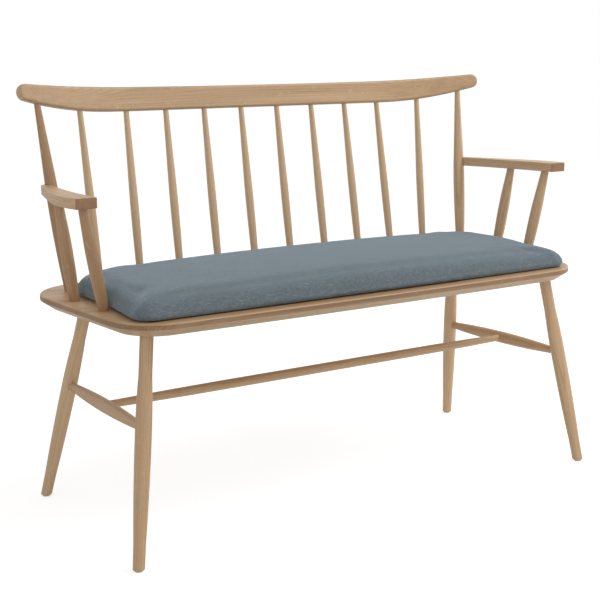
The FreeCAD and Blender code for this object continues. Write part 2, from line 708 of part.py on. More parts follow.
def make_arm_spindle(end, side, word):
    foot, head = arm_spindle_ends(end, side)
    length = as_size((head - foot).Length)
    stations = [
        (-size["spindle_tenon"], size["arm_spindle_foot_radius"]),
        (size["spindle_tenon"] * 0, size["arm_spindle_foot_radius"]),
        (length * size["arm_spindle_swell_share"], size["arm_spindle_swell_radius"]),
        (length * size["arm_spindle_knee_share"], size["arm_spindle_knee_radius"]),
        (length, size["arm_spindle_head_radius"]),
        (length + size["arm_spindle_head_tenon"], size["arm_spindle_head_radius"]),
    ]
    turned(f"arm_spindle_{end}_{word}", foot, head, stations, arcs=(1, 2))


# Arms

def make_arm(side, word):
    body = new_body(f"arm_{word}", arm_placement())
    sketch = new_sketch(body, "XY_Plane")
    bend = size["arm_outer_bend"]
    turn = size["arm_outer_turn"]
    back = size["arm_widest_back"]
    length = size["arm_length"]
    front_outer = size["arm_widest"] - bend + root(bend * bend - back * back)
    knee = (size["arm_widest"] - bend + bend * cosine(turn), back + bend * sine(turn))
    rear_outer = knee[0] - (length - knee[1]) * sine(turn) / cosine(turn)
    inner = size["arm_inner_bend"]
    rear_inner = size["arm_inner_front"] - inner + root(inner * inner - length * length)
    corners = [
        (size["arm_inner_front"], 0), (front_outer, 0), knee, (rear_outer, length), (rear_inner, length),
    ]
    arcs = {1: bend, 4: -inner}
    if side < 0:
        corners = [(-x, y) for x, y in (corners[1], corners[0], corners[4], corners[3], corners[2])]
        arcs = {1: -inner, 4: bend}
    draw(sketch, corners, arcs)
    pad(body, sketch, size["arm_thick"], downwards=True)
    round_edges(body, lambda edge, shape: is_upright(edge) and edge.BoundBox.YMin > length.value - 1,
                size["arm_rear_round"])
    round_edges(body, lambda edge, shape: is_upright(edge) and edge.BoundBox.YMax < 1,
                size["arm_front_round"])
    round_edges(body, lambda edge, shape: is_level(edge), size["arm_edge_round"])
    foot, head = upright_ends(0 if side < 0 else 11)
    bore(body, foot, head, size["post_swell_radius"] + size["play"], as_size((head - foot).Length))
    for end in ("front", "rear"):
        foot, head = arm_spindle_ends(end, side)
        socket(body, head, head * 2 - foot, size["arm_spindle_head_radius"],
               size["arm_spindle_head_tenon"])
    centre, outward = arm_dowel_ends(side)
    bore(body, centre, centre + outward, size["arm_dowel_radius"] + size["play"],
         post_radius_at_dowel() + size["arm_dowel_in_arm"] + size["end_play"])
    doc.recompute()


def is_upright(edge):
    box = edge.BoundBox
    return box.ZLength > mm("arm_thick") - 1 and box.XLength < 0.01 and box.YLength < 0.01


def is_level(edge):
    return edge.BoundBox.ZLength < 0.01


def make_arm_dowel(side, word):
    centre, outward = arm_dowel_ends(side)
    inner = centre + outward * (post_radius_at_dowel().value - mm("arm_dowel_in_post") + mm("end_play"))
    dowel = doc.addObject("Part::Cylinder", f"arm_dowel_{word}")
    dowel.Label = f"arm_dowel_{word}"
    bind(dowel, "Radius", size["arm_dowel_radius"])
    bind(dowel, "Height", size["arm_dowel_in_post"] + size["arm_dowel_in_arm"] - size["end_play"])
    dowel.Placement = along(inner, inner + outward)
    doc.recompute()


# Crest rail

def make_rail():
    body = new_body("crest_rail", rail_placement)
    plan = new_sketch(body, "XY_Plane")
    half = size["rail_thick"] / 2
    bend = size["rail_bend"]
    turn = size["rail_turn"]
    straight = size["rail_straight"]

    def bent_end(radius):
        return straight + radius * sine(turn), -bend + radius * cosine(turn)

    front = bent_end(bend - half)
    back = bent_end(bend + half)
    corners = [
        (-front[0], front[1]), (-straight, -half), (straight, -half), front,
        back, (straight, half), (-straight, half), (-back[0], back[1]),
    ]
    draw(plan, corners, {0: half - bend, 2: half - bend, 4: bend + half, 6: bend + half})
    blank = pad(body, plan, size["rail_tall_end"] + size["rail_tip_radius"])
    blank.Midplane = False

    sides = new_sketch(body, "XZ_Plane")
    tip = size["rail_tip_radius"]
    share = rail_sweep / (rail_sweep - tip)
    low = (
        size["rail_level"] + tip_run * share,
        rail_sweep + (rail_tip_centre_up - rail_sweep) * share,
    )
    high = (rail_tip_centre_out, size["rail_tall_end"])
    level = size["rail_level"]
    rise = size["rail_tall_end"] - size["rail_tall"]
    hollow = (high[0] * high[0] + rise * rise) / (rise * 2)
    nose = (size["rail_half"], rail_tip_centre_up)
    left_nose = (-nose[0], nose[1])
    wall = size["rail_half"] * 1.2
    top = size["rail_tall_end"] * 2
    draw(sides, [(-wall, -top), (wall, -top), (wall, top), (-wall, top)])
    draw(
        sides,
        [(-level, 0), (level, 0), low, nose, high, (-high[0], high[1]), left_nose, (-low[0], low[1])],
        {1: rail_sweep, 2: tip, 3: tip, 4: -hollow, 5: tip, 6: tip, 7: rail_sweep},
    )
    shaping = body.newObject("PartDesign::Pocket", "rail_shaping")
    shaping.Profile = sides
    shaping.Type = "ThroughAll"
    shaping.Midplane = True
    round_edges(body, is_rail_arris, size["rail_round"])
    for place in range(12):
        foot, head = upright_ends(place)
        radius = size["post_head_radius"] if place in (0, 11) else size["spindle_head_radius"]
        socket(body, head, head * 2 - foot, radius, size["spindle_head_tenon"])
    doc.recompute()


def is_broad(face):
    """A face of the rail's front or back: its normal lies level."""
    low, high, left, right = face.ParameterRange
    normal = face.normalAt((low + high) / 2, (left + right) / 2)
    surface = face.Surface
    if isinstance(surface, Part.Cylinder):
        return abs(surface.Axis.z) > 0.9
    return abs(normal.y) > 0.9


def is_rail_arris(edge, shape):
    faces = shape.ancestorsOfType(edge, Part.Face)
    return len(faces) == 2 and is_broad(faces[0]) != is_broad(faces[1])


# Seat pad

def pad_outline(inset, turn):
    """The pad's plan, inset from the cover's outside."""
    return splayed_outline(
        size["plank_front"] - size["pad_front_in"] - inset,
        size["plank_rear"] - size["pad_rear_in"] - inset,
        size["plank_half_front"] - size["pad_end_front_in"] - inset,
        size["plank_half_rear"] - size["pad_end_rear_in"] - inset,
        size["pad_front_corner"] - inset, size["pad_rear_corner"] - inset, (turn, turn))


def pad_form(label, inset):
    """The crowned, round-shouldered form of the pad, inset all round from the cover's outside."""
    bottom = at(0, 0, mm("seat_height") + mm("pad_lift") + inset.value)
    body = new_body(label, Placement(bottom, Rotation()))
    sketch = new_sketch(body, "XY_Plane")
    corners, arcs = pad_outline(inset, size["pad_bow_turn"])
    draw(sketch, corners, arcs)
    pad(body, sketch, size["pad_high"] * 2)
    crown(body, size["pad_high"] - size["pad_lift"] - inset * 2)
    round_edges(body, lambda edge, shape: is_level(edge) and edge.BoundBox.ZMax < 0.01,
                size["pad_tuck"] - inset)
    round_edges(body, is_crown_rim, size["pad_shoulder"] - inset)
    return body


def crown(body, high):
    """Turn the pad's top off to a barrel shape: round along its length and round across it."""
    sketch = new_sketch(body, "XZ_Plane")
    half = size["plank_half_rear"]
    run = half - size["pad_end_rear_in"]
    ends = high - size["pad_crown_end"]
    along_radius = (run * run + size["pad_crown_end"] * size["pad_crown_end"]) / (size["pad_crown_end"] * 2)
    past = along_radius - root(along_radius * along_radius - half * half)
    edge_height = high - past
    ceiling = size["pad_high"] * 3
    draw(
        sketch,
        [(half, edge_height), (half, ceiling), (-half, ceiling), (-half, edge_height)],
        {3: -along_radius},
    )
    across = size["plank_front"] - size["pad_front_in"]
    across_radius = (
        (across * across + size["pad_crown_side"] * size["pad_crown_side"]) / (size["pad_crown_side"] * 2)
    )
    depth = high - across_radius
    axis = sketch.addGeometry(
        Part.LineSegment(Vector(-half.value, depth.value, 0), Vector(half.value, depth.value, 0)), True)
    hold(sketch, axis, 1, "DistanceX", -half)
    hold(sketch, axis, 1, "DistanceY", depth)
    hold(sketch, axis, 2, "DistanceX", half)
    hold(sketch, axis, 2, "DistanceY", depth)
    groove = body.newObject("PartDesign::Groove", body.Label + "_crown")
    groove.Profile = sketch
    groove.ReferenceAxis = (sketch, ["Axis0"])
    groove.Midplane = True
    groove.Angle = 30
    doc.recompute()


def is_crown_rim(edge, shape):
    faces = shape.ancestorsOfType(edge, Part.Face)
    if len(faces) != 2 or edge.BoundBox.ZMin < mm("pad_high") / 3:
        return False
    tops = [is_crown(face) for face in faces]
    return tops[0] != tops[1]


def is_crown(face):
    low, high, left, right = face.ParameterRange
    return abs(face.normalAt((low + high) / 2, (left + right) / 2).z) > 0.9


def make_cover():
    outside = pad_form("cover_outside", size["pad_lift"] * 0)
    inside = pad_form("cover_inside", size["cover_thick"])
    sketch = new_sketch(inside, "XY_Plane")
    corners, arcs = pad_outline(size["board_in"] + size["cover_turned_in"], None)
    draw(sketch, corners, arcs)
    pad(inside, sketch, size["bore_overrun"], downwards=True)
    cover = doc.addObject("Part::Cut", "pad_cover")
    cover.Label = "pad_cover"
    cover.Base = outside
    cover.Tool = inside
    doc.recompute()


def make_foam():
    body = pad_form("pad_foam", size["cover_thick"] + size["cover_play"])
    sketch = new_sketch(body, "XY_Plane")
    corners, arcs = pad_outline(size["board_in"] - size["play"], None)
    draw(sketch, corners, arcs)
    recess = body.newObject("PartDesign::Pocket", "board_recess")
    recess.Profile = sketch
    recess.Reversed = True
    bind(recess, "Length", size["board_thick"] + size["play"])
    doc.recompute()


def make_board():
    body = new_body("pad_board", Placement(at(0, 0, board_under()), Rotation()))
    sketch = new_sketch(body, "XY_Plane")
    corners, arcs = pad_outline(size["board_in"], None)
    draw(sketch, corners, arcs)
    pad(body, sketch, size["board_thick"])
    for x, y in screw_places():
        low = at(x, y, board_under() - mm("bore_overrun"))
        bore(body, low, low + Vector(0, 0, 1), size["screw_radius"] + size["play"],
             size["bore_overrun"] + size["screw_in_board"] + size["end_play"])
    doc.recompute()


def board_under():
    return mm("seat_height") + mm("pad_lift") + mm("cover_thick") + mm("cover_play")


def screw_places():
    end = mm("plank_half_front") - mm("pad_end_front_in") - mm("screw_end_in")
    front = mm("plank_front") - mm("pad_front_in") - mm("screw_edge_in")
    rear = mm("plank_rear") - mm("pad_rear_in") - mm("screw_edge_in")
    return [(x, y) for x in (-end, 0, end) for y in (-front, rear)]


def make_screws():
    screws = []
    for number, (x, y) in enumerate(screw_places(), start=1):
        head = doc.addObject("Part::Cone", f"screw_head_{number}")
        bind(head, "Radius1", size["screw_head_radius"])
        bind(head, "Radius2", size["screw_radius"])
        bind(head, "Height", size["screw_head_thick"])
        head.Placement = Placement(at(x, y, plank_under), Rotation())
        shank = doc.addObject("Part::Cylinder", f"screw_shank_{number}")
        bind(shank, "Radius", size["screw_radius"])
        bind(shank, "Height", size["plank_thick"] + size["screw_in_board"])
        shank.Placement = head.Placement
        screw = doc.addObject("Part::Fuse", f"screw_{number}")
        screw.Base = head
        screw.Tool = shank
        screws.append(screw)
    group = doc.addObject("Part::Compound", "pad_screws")
    group.Label = "pad_screws"
    group.Links = screws
    doc.recompute()


def make_all():
    make_plank()
    make_rail()
    for place in range(12):
        make_upright(place)
    for word, side in SIDES.items():
        make_arm(side, word)
        make_arm_dowel(side, word)
        make_side_stretcher(side, word)
        for end in ("front", "rear"):
            make_leg(end, side, word)
            make_glide(end, side, word)
            make_arm_spindle(end, side, word)
    make_middle_stretcher()
    make_board()
    make_foam()
    make_cover()
    make_screws()


NODES = (
    ["seat_plank", "crest_rail", "end_post_left", "end_post_right", "middle_stretcher"]
    + [f"back_spindle_{place:02d}" for place in range(1, 11)]
    + [f"{piece}_{word}" for piece in ("arm", "arm_dowel", "side_stretcher") for word in SIDES]
    + [f"{piece}_{end}_{word}" for piece in ("leg", "glide", "arm_spindle")
       for end in ("front", "rear") for word in SIDES]
    + ["pad_board", "pad_foam", "pad_cover", "pad_screws"]
)


def check_and_write():
    doc.recompute()
    for item in doc.Objects:
        bad = [word for word in item.State if word in ("Invalid", "Error")]
        if bad:
            raise SystemExit(f"{item.Label} failed: {bad}")
    pieces = [doc.getObjectsByLabel(label)[0] for label in NODES]
    for piece in pieces:
        if piece.Shape.isNull() or not piece.Shape.isValid():
            raise SystemExit(f"{piece.Label} has no valid shape")
    os.makedirs("parts", exist_ok=True)
    for piece in pieces:
        piece.Shape.exportStep(f"parts/{piece.Label}.step")
        print(piece.Label, len(piece.Shape.Solids), round(piece.Shape.Volume), "mm3")


make_all()
check_and_write()
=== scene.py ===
import math

import bpy
import numpy as np
from mathutils import Matrix, Vector, noise


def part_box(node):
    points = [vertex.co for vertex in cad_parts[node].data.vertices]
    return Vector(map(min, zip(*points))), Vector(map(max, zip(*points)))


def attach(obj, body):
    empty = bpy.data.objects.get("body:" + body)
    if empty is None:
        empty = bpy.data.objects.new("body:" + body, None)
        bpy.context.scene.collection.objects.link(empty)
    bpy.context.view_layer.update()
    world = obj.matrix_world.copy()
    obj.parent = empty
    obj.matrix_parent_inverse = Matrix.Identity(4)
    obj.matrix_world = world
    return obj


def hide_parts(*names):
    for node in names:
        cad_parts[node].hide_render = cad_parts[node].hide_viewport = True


# A spindle-back bench in pale oak with a woven seat pad, dressed over its solids.
# Metres, in the solids' own frame: +X along the bench, -Y the sitter's side, +Z up.

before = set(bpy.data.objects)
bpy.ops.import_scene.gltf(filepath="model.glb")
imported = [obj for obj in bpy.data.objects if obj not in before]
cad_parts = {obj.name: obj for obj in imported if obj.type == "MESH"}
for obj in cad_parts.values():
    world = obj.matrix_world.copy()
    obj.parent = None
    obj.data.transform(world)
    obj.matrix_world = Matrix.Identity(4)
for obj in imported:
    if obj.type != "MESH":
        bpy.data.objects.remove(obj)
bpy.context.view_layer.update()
scene = bpy.context.scene


def deselect_all():
    if bpy.context.object and bpy.context.object.mode != "OBJECT":
        bpy.ops.object.mode_set(mode="OBJECT")
    bpy.ops.object.select_all(action="DESELECT")


def make_active(piece):
    deselect_all()
    piece.select_set(True)
    bpy.context.view_layer.objects.active = piece


def read_vertices(piece, what):
    """The vertices' places ("co") or normals ("normal"), a row of three numbers for each."""
    numbers = np.empty(len(piece.data.vertices) * 3)
    piece.data.vertices.foreach_get(what, numbers)
    return numbers.reshape(-1, 3)


def move_vertices(piece, places):
    piece.data.vertices.foreach_set("co", places.ravel())
    piece.data.update()


# Camera: where the bench is seen from, fitted to the picture

CAMERA_PLACE = (-1.411, -2.0823, 0.907)
CAMERA_TURN = 33.3
CAMERA_TILT = 11.87
CAMERA_LENS = 75.16


def place_camera():
    turn = math.radians(CAMERA_TURN)
    tilt = math.radians(CAMERA_TILT)
    look = Vector((math.sin(turn) * math.cos(tilt), math.cos(turn) * math.cos(tilt), -math.sin(tilt)))
    bpy.ops.object.camera_add(location=CAMERA_PLACE, rotation=look.to_track_quat("-Z", "Y").to_euler())
    camera = bpy.context.object
    camera.name = "camera"
    camera.data.sensor_width = 36
    camera.data.lens = CAMERA_LENS
    scene.camera = camera


# Materials

def new_material(name):
    material = bpy.data.materials.new(name)
    material.use_nodes = True
    nodes = material.node_tree.nodes
    nodes.clear()
    output = nodes.new("ShaderNodeOutputMaterial")
    shader = nodes.new("ShaderNodeBsdfPrincipled")
    material.node_tree.links.new(shader.outputs["BSDF"], output.inputs["Surface"])
    return material, shader


class Nodes:
    """Short ways to add nodes to one tree."""

    def __init__(self, tree):
        self.tree = tree

    def add(self, kind, **settings):
        node = self.tree.nodes.new(kind)
        for name, value in settings.items():
            setattr(node, name, value)
        return node

    def link(self, source, target):
        self.tree.links.new(source, target)

    def plug(self, value, socket):
        if isinstance(value, bpy.types.NodeSocket):
            self.link(value, socket)
        else:
            socket.default_value = value

    def maths(self, operation, first, second=0.0, third=0.0, clamp=False):
        node = self.add("ShaderNodeMath", operation=operation, use_clamp=clamp)
        for value, socket in zip((first, second, third), node.inputs):
            self.plug(value, socket)
        return node.outputs[0]

    def about_zero(self, noise_value):
        """A noise value, which lies about a half, moved to lie about zero."""
        return self.maths("SUBTRACT", noise_value, 0.5)

    def add_share(self, value, added, share, clamp=False):
        return self.maths("ADD", value, self.maths("MULTIPLY", added, share), clamp=clamp)

    def spread(self, value, low, high, to_low=0.0, to_high=1.0):
        """Map low..high smoothly onto to_low..to_high."""
        node = self.add("ShaderNodeMapRange", interpolation_type="SMOOTHSTEP")
        for number, socket in zip((value, low, high, to_low, to_high), node.inputs):
            self.plug(number, socket)
        return node.outputs["Result"]

    def noise(self, vector, scale, detail=3.0, rough=0.5, distortion=0.0):
        node = self.add("ShaderNodeTexNoise")
        self.plug(vector, node.inputs["Vector"])
        node.inputs["Scale"].default_value = scale
        node.inputs["Detail"].default_value = detail
        node.inputs["Roughness"].default_value = rough
        node.inputs["Distortion"].default_value = distortion
        return node.outputs["Fac"]

    def stretch(self, vector, scale):
        """The vector with each axis multiplied."""
        node = self.add("ShaderNodeVectorMath", operation="MULTIPLY")
        self.plug(vector, node.inputs[0])
        node.inputs[1].default_value = scale
        return node.outputs["Vector"]

    def shift(self, vector, amount):
        node = self.add("ShaderNodeVectorMath", operation="ADD")
        self.plug(vector, node.inputs[0])
        self.plug(amount, node.inputs[1])
        return node.outputs["Vector"]

    def blend(self, share, first, second, kind="MIX"):
        node = self.add("ShaderNodeMix", data_type="RGBA", blend_type=kind)
        self.plug(share, node.inputs["Factor"])
        self.plug(first, node.inputs["A"])
        self.plug(second, node.inputs["B"])
        return node.outputs["Result"]

    def pick(self, second_wins, first, second):
        """The first number where the switch is 0, and the second where it is 1."""
        node = self.add("ShaderNodeMix", data_type="FLOAT")
        for value, name in ((second_wins, "Factor"), (first, "A"), (second, "B")):
            self.plug(value, node.inputs[name])
        return node.outputs["Result"]

    def split(self, vector):
        node = self.add("ShaderNodeSeparateXYZ")
        self.plug(vector, node.inputs[0])
        return node.outputs

    def join(self, x, y, z):
        node = self.add("ShaderNodeCombineXYZ")
        for value, socket in zip((x, y, z), node.inputs):
            self.plug(value, socket)
        return node.outputs[0]


def colour(red, green, blue):
    """A colour given as it looks on a screen, 0 to 255."""
    parts = [part / 255 for part in (red, green, blue)]
    return tuple(p / 12.92 if p <= 0.04045 else ((p + 0.055) / 1.055) ** 2.4 for p in parts) + (1.0,)


OAK_LIGHT = colour(208, 176, 138)
OAK_MIDDLE = colour(190, 156, 118)
OAK_DARK = colour(162, 126, 90)
OAK_PORE = colour(120, 88, 60)
OAK_RAY = colour(226, 200, 166)

# Tints that multiply the oak's colour: arm ends darker (end grain and painted shade), plank band darker,
# undercut paler (painted reflection)
END_FACE_GRAIN_AND_SHADE_TINT = colour(192, 174, 170)
BAND_TINT = colour(206, 198, 190)
UNDERCUT_PAINTED_REFLECTION = (1.05, 1.16, 1.28, 1.0)

# How finely each mark of the oak repeats in a metre: across the grain, across it again, along it
WAVER = (5.0, 5.0, 1.3)
RUFFLE = (30, 30, 4)
FIBRE = (900, 900, 22)
STREAK = (130, 130, 3.2)
BROAD = (16, 16, 1.2)
PORE = (1500, 1500, 110)
RAY = (55, 420, 60)
RINGS_PER_METRE = 290.0
RING_SWAY = 0.030


def make_oak_group():
    """Pale oak: growth rings round a pith, fine fibres, open pores and short pale ray flecks.

    The vector's Z runs along the grain and its X and Y lie across it, in metres.
    """
    group = bpy.data.node_groups.new("oak", "ShaderNodeTree")
    for name, kind in (("Vector", "NodeSocketVector"), ("Shade", "NodeSocketFloat")):
        group.interface.new_socket(name, in_out="INPUT", socket_type=kind)
    for name, kind in (("Colour", "NodeSocketColor"), ("Roughness", "NodeSocketFloat"),
                       ("Height", "NodeSocketFloat")):
        group.interface.new_socket(name, in_out="OUTPUT", socket_type=kind)
    kit = Nodes(group)
    given = kit.add("NodeGroupInput")
    result = kit.add("NodeGroupOutput")
    place = given.outputs["Vector"]

    waver = kit.about_zero(kit.noise(kit.stretch(place, WAVER), 1.0, 2.0, 0.5))
    sway = kit.maths("MULTIPLY", waver, RING_SWAY)
    flat = kit.stretch(place, (1.0, 1.0, 0.0))
    bent = kit.shift(flat, kit.join(sway, sway, 0.0))
    length = kit.add("ShaderNodeVectorMath", operation="LENGTH")
    kit.link(bent, length.inputs[0])
    rings = kit.maths("MULTIPLY", length.outputs["Value"], RINGS_PER_METRE)
    rings = kit.add_share(rings, kit.noise(kit.stretch(place, RUFFLE), 1.0), 1.3)
    ring = kit.maths("FRACT", rings)
    early = kit.spread(ring, 0.0, 0.55, 1.0, 0.0)
    late = kit.spread(ring, 0.82, 1.0, 0.0, 0.65)
    band = kit.maths("MAXIMUM", early, late)

    fibre = kit.noise(kit.stretch(place, FIBRE), 1.0, 4.0, 0.6)
    streak = kit.noise(kit.stretch(place, STREAK), 1.0, 3.0, 0.55)
    broad = kit.noise(kit.stretch(place, BROAD), 1.0, 2.0, 0.5)

    tone = kit.maths("MULTIPLY_ADD", kit.about_zero(streak), 0.9, 0.45)
    tone = kit.add_share(tone, kit.about_zero(broad), 0.9)
    tone = kit.add_share(tone, kit.maths("SUBTRACT", band, 0.45), 0.24)
    tone = kit.add_share(tone, kit.about_zero(fibre), 0.4)
    tone = kit.maths("ADD", tone, given.outputs["Shade"], clamp=True)
    body = kit.blend(kit.spread(tone, 0.0, 0.55), OAK_LIGHT, OAK_MIDDLE)
    body = kit.blend(kit.spread(tone, 0.5, 1.1), body, OAK_DARK)

    pore_field = kit.add("ShaderNodeTexVoronoi", feature="F1")
    kit.link(kit.stretch(place, PORE), pore_field.inputs["Vector"])
    pore_field.inputs["Scale"].default_value = 1.0
    pore = kit.spread(pore_field.outputs["Distance"], 0.12, 0.32, 1.0, 0.0)
    crowd = kit.maths("MULTIPLY_ADD", band, 0.75, 0.2)
    pore = kit.maths("MULTIPLY", pore, crowd)
    body = kit.blend(kit.maths("MULTIPLY", pore, 0.75), body, OAK_PORE)

    ray = kit.noise(kit.stretch(place, RAY), 1.0, 2.0, 0.5, 0.4)
    body = kit.blend(kit.maths("MULTIPLY", kit.spread(ray, 0.63, 0.72), 0.22), body, OAK_RAY)

    kit.link(body, result.inputs["Colour"])
    rough = kit.maths("MULTIPLY_ADD", pore, 0.25, 0.44)
    kit.link(kit.add_share(rough, kit.about_zero(fibre), 0.18), result.inputs["Roughness"])
    height = kit.maths("MULTIPLY_ADD", pore, -0.8, kit.maths("MULTIPLY", fibre, 0.45))
    kit.link(kit.add_share(height, band, -0.15), result.inputs["Height"])
    return group


oak_group = make_oak_group()

# How far the pith lies aside, as a share of its depth, and how long the logs are, in metres
PITH_ASIDE = 0.3
LOG_LENGTH = 7.0


def tint_between(kit, place, body, axis, low, high, edge, tint):
    """Tint the colour between two levels along one axis of the bench."""
    level = kit.split(place)[axis]
    rise = kit.spread(level, low - edge, low + edge)
    fall = kit.spread(level, high - edge, high + edge, 1.0, 0.0)
    return kit.blend(kit.maths("MULTIPLY", rise, fall), body, tint, "MULTIPLY")


def oak_material(name, centre, along, turn, pith, shade, faces):
    """Oak whose grain runs along a direction.

    turn spins the rings about the grain, and pith says how far off the piece's middle they centre.
    faces lists the axis, levels, soft edge and tint of each face tinted apart, painted shade and a
    painted reflection among them.
    """
    material, shader = new_material(name)
    kit = Nodes(material.node_tree)
    place = kit.add("ShaderNodeTexCoord").outputs["Object"]
    mapping = kit.add("ShaderNodeMapping", vector_type="TEXTURE")
    kit.link(place, mapping.inputs["Vector"])
    lean = Vector(along).to_track_quat("Z", "Y").to_matrix() @ Matrix.Rotation(turn, 3, "Z")
    mapping.inputs["Location"].default_value = Vector(centre)
    mapping.inputs["Rotation"].default_value = lean.to_euler()
    cut = (pith, pith * PITH_ASIDE, hash_share(name) * LOG_LENGTH)
    moved = kit.shift(mapping.outputs["Vector"], cut)
    oak = kit.add("ShaderNodeGroup", node_tree=oak_group)
    kit.link(moved, oak.inputs["Vector"])
    oak.inputs["Shade"].default_value = shade
    body = oak.outputs["Colour"]
    # Tinted faces: painted shade on the arm ends and a painted reflection on the plank's undercut
    for axis, low, high, edge, tint in faces:
        body = tint_between(kit, place, body, axis, low, high, edge, tint)
    kit.link(body, shader.inputs["Base Color"])
    kit.link(oak.outputs["Roughness"], shader.inputs["Roughness"])
    bump = kit.add("ShaderNodeBump")
    bump.inputs["Strength"].default_value = 0.22
    bump.inputs["Distance"].default_value = 0.0006
    kit.link(oak.outputs["Height"], bump.inputs["Height"])
    kit.link(bump.outputs["Normal"], shader.inputs["Normal"])
    shader.inputs["Specular IOR Level"].default_value = 0.5
    return material


def hash_share(name):
    """A fixed number from 0 to 1 for a name, the same on each run."""
    total = 0
    for letter in name:
        total = (total * 31 + ord(letter)) % 9973
    return total / 9973


def long_axis(piece):
    """Middle and direction of a piece's longest run, from its mesh."""
    points = read_vertices(piece, "co")
    middle = (points.min(0) + points.max(0)) / 2
    spread = np.cov((points - points.mean(0)).T)
    values, vectors = np.linalg.eigh(spread)
    direction = vectors[:, int(np.argmax(values))]
    return middle, direction * (1 if direction[int(np.argmax(np.abs(direction)))] > 0 else -1)


def dress(node, material):
    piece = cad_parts[node]
    for slot in piece.material_slots:
        slot.material = material
    if not piece.material_slots:
        piece.data.materials.append(material)


# Boards are cut with the rings lying flat, this far from the pith; sticks lie nearer to it
BOARD_PITH = {"seat_plank": 0.055, "crest_rail": 0.030, "arm_left": 0.026, "arm_right": 0.026}
STICK_PITH = 0.012
STICK_PITH_SPREAD = 0.03

# How much darker some pieces are than the common tone: partly the wood's own tone, partly painted light
# and shade (left-hand pieces and the plank darker, rear legs, right-hand pieces and spindles paler)
TONES_AND_PAINTED_SHADE = {
    "end_post_left": 0.75, "arm_spindle_front_left": 0.62, "arm_spindle_rear_left": 0.5,
    "leg_front_left": 0.24, "leg_rear_left": -0.35, "leg_rear_right": -0.35, "seat_plank": 0.28,
    "crest_rail": 0.10, "arm_left": 0.04, "arm_right": -0.2, "middle_stretcher": 0.04,
    "end_post_right": -0.1, "leg_front_right": 0.0,
}
SPINDLE_TONE_AND_PAINTED_LIGHT = -0.28
TONE_SPREAD = 0.16

# The plank's upright band and its undercut (painted reflection), below the plank's top; and the arms'
# end faces (end grain and painted shade)
BAND_START = 0.0016
BAND_END = 0.0104
BAND_EDGE = 0.0010
UNDERCUT_START = 0.0108
UNDERCUT_EDGE = 0.0006
END_FACE_DEEP = 0.0020
END_FACE_EDGE = 0.0012
PAST = 0.01


def tinted_faces(node):
    """End grain of the arms, darker with painted shade, and the plank's upright band, darker, and its
    undercut, paler with a painted reflection.
    """
    low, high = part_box(node)
    if node in ("arm_left", "arm_right"):
        # The arms' end faces darker: partly end grain, partly painted shade
        return ((1, low[1] - PAST, low[1] + END_FACE_DEEP, END_FACE_EDGE, END_FACE_GRAIN_AND_SHADE_TINT),
                (1, high[1] - END_FACE_DEEP, high[1] + PAST, END_FACE_EDGE, END_FACE_GRAIN_AND_SHADE_TINT))
    if node == "seat_plank":
        # The plank's band darker, and its undercut paler: a painted reflection
        return ((2, high[2] - BAND_END, high[2] - BAND_START, BAND_EDGE, BAND_TINT),
                (2, low[2] - PAST, high[2] - UNDERCUT_START, UNDERCUT_EDGE, UNDERCUT_PAINTED_REFLECTION))
    return ()


def dress_wood():
    """Give every wooden solid its own cut of oak, the grain along it."""
    for node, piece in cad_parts.items():
        if node.startswith(("glide", "pad", "arm_dowel")):
            continue
        middle, direction = long_axis(piece)
        share = hash_share(node)
        pith = BOARD_PITH.get(node, STICK_PITH + STICK_PITH_SPREAD * share)
        turn = -math.pi / 2 if node in BOARD_PITH else share * math.tau
        # Each piece's tone: the wood's own, with painted light and shade on some pieces
        shade = TONES_AND_PAINTED_SHADE.get(node, (share - 0.5) * TONE_SPREAD)
        if node.startswith("back_spindle"):
            shade += SPINDLE_TONE_AND_PAINTED_LIGHT
        dress(node, oak_material(f"oak_{node}", middle, direction, turn, pith, shade,
                                 tinted_faces(node)))


# Small hidden and half-hidden finishes

def beech_material():
    material, shader = new_material("bare_beech")
    kit = Nodes(material.node_tree)
    place = kit.add("ShaderNodeTexCoord").outputs["Object"]
    fibre = kit.noise(kit.stretch(place, (60, 900, 900)), 1.0, 3.0)
    tint = kit.blend(kit.spread(fibre, 0.3, 0.7), colour(214, 184, 148), colour(190, 154, 116))
    kit.link(tint, shader.inputs["Base Color"])
    shader.inputs["Roughness"].default_value = 0.6
    return material


def plywood_material():
    material, shader = new_material("birch_plywood")
    kit = Nodes(material.node_tree)
    place = kit.add("ShaderNodeTexCoord").outputs["Object"]
    fibre = kit.noise(kit.stretch(place, (8, 260, 90)), 1.0, 3.0)
    plies = kit.maths("FRACT", kit.maths("MULTIPLY", kit.split(place)[2], 1 / 0.003))
    tint = kit.blend(kit.spread(fibre, 0.3, 0.7), colour(212, 186, 148), colour(190, 158, 118))
    tint = kit.blend(kit.spread(plies, 0.4, 0.6, 0.0, 0.35), tint, colour(150, 116, 82))
    kit.link(tint, shader.inputs["Base Color"])
    shader.inputs["Roughness"].default_value = 0.7
    return material


def nylon_material():
    material, shader = new_material("glide_nylon")
    kit = Nodes(material.node_tree)
    place = kit.add("ShaderNodeTexCoord").outputs["Object"]
    scuff = kit.noise(kit.stretch(place, (400, 400, 400)), 1.0, 4.0, 0.6)
    tint = kit.blend(kit.spread(scuff, 0.35, 0.7), colour(214, 210, 200), colour(186, 180, 168))
    kit.link(tint, shader.inputs["Base Color"])
    kit.link(kit.spread(scuff, 0.3, 0.7, 0.38, 0.6), shader.inputs["Roughness"])
    return material


